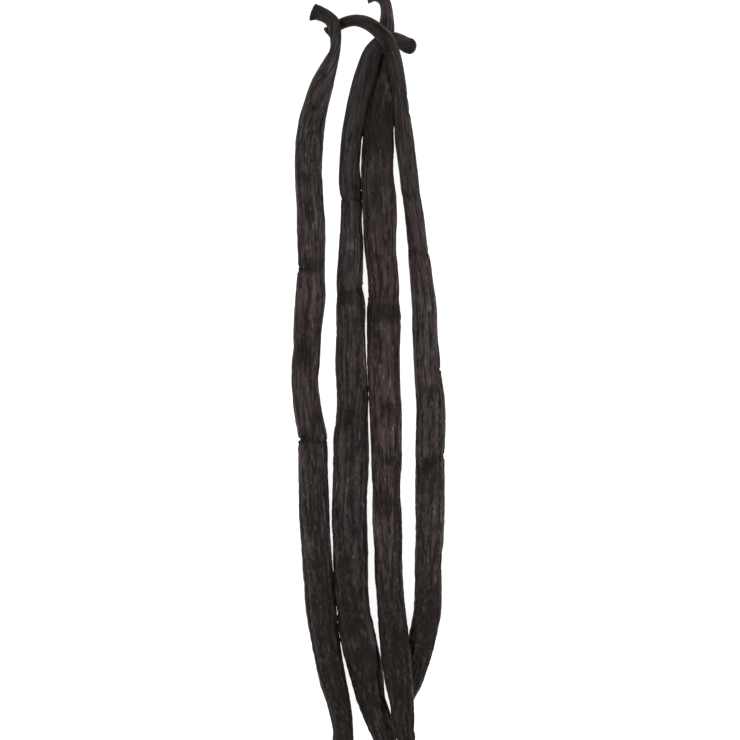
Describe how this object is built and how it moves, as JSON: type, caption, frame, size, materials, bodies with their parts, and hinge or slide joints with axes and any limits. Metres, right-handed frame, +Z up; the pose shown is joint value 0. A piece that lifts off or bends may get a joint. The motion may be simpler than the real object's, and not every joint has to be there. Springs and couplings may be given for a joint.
{
  "type": "bundle of vanilla pods",
  "caption": "Cured vanilla pods lying side by side, long flattened ridged bodies with hooked stems that cross at one end.",
  "frame": {"origin": "centre of the bundle's bounding box, at the table surface it lies on", "axes": "+Z up from the table, +Y along the pods towards the stem ends, +X to the right of the bundle seen from above"},
  "size_m": [0.0382, 0.19, 0.0088],
  "materials": {
    "cured_skin": "satin, oily"
  },
  "bodies": {
    "root": {"pod_outer_left": "cured_skin", "pod_inner_left": "cured_skin", "pod_inner_right": "cured_skin", "pod_outer_right": "cured_skin"}
  },
  "joints": []
}
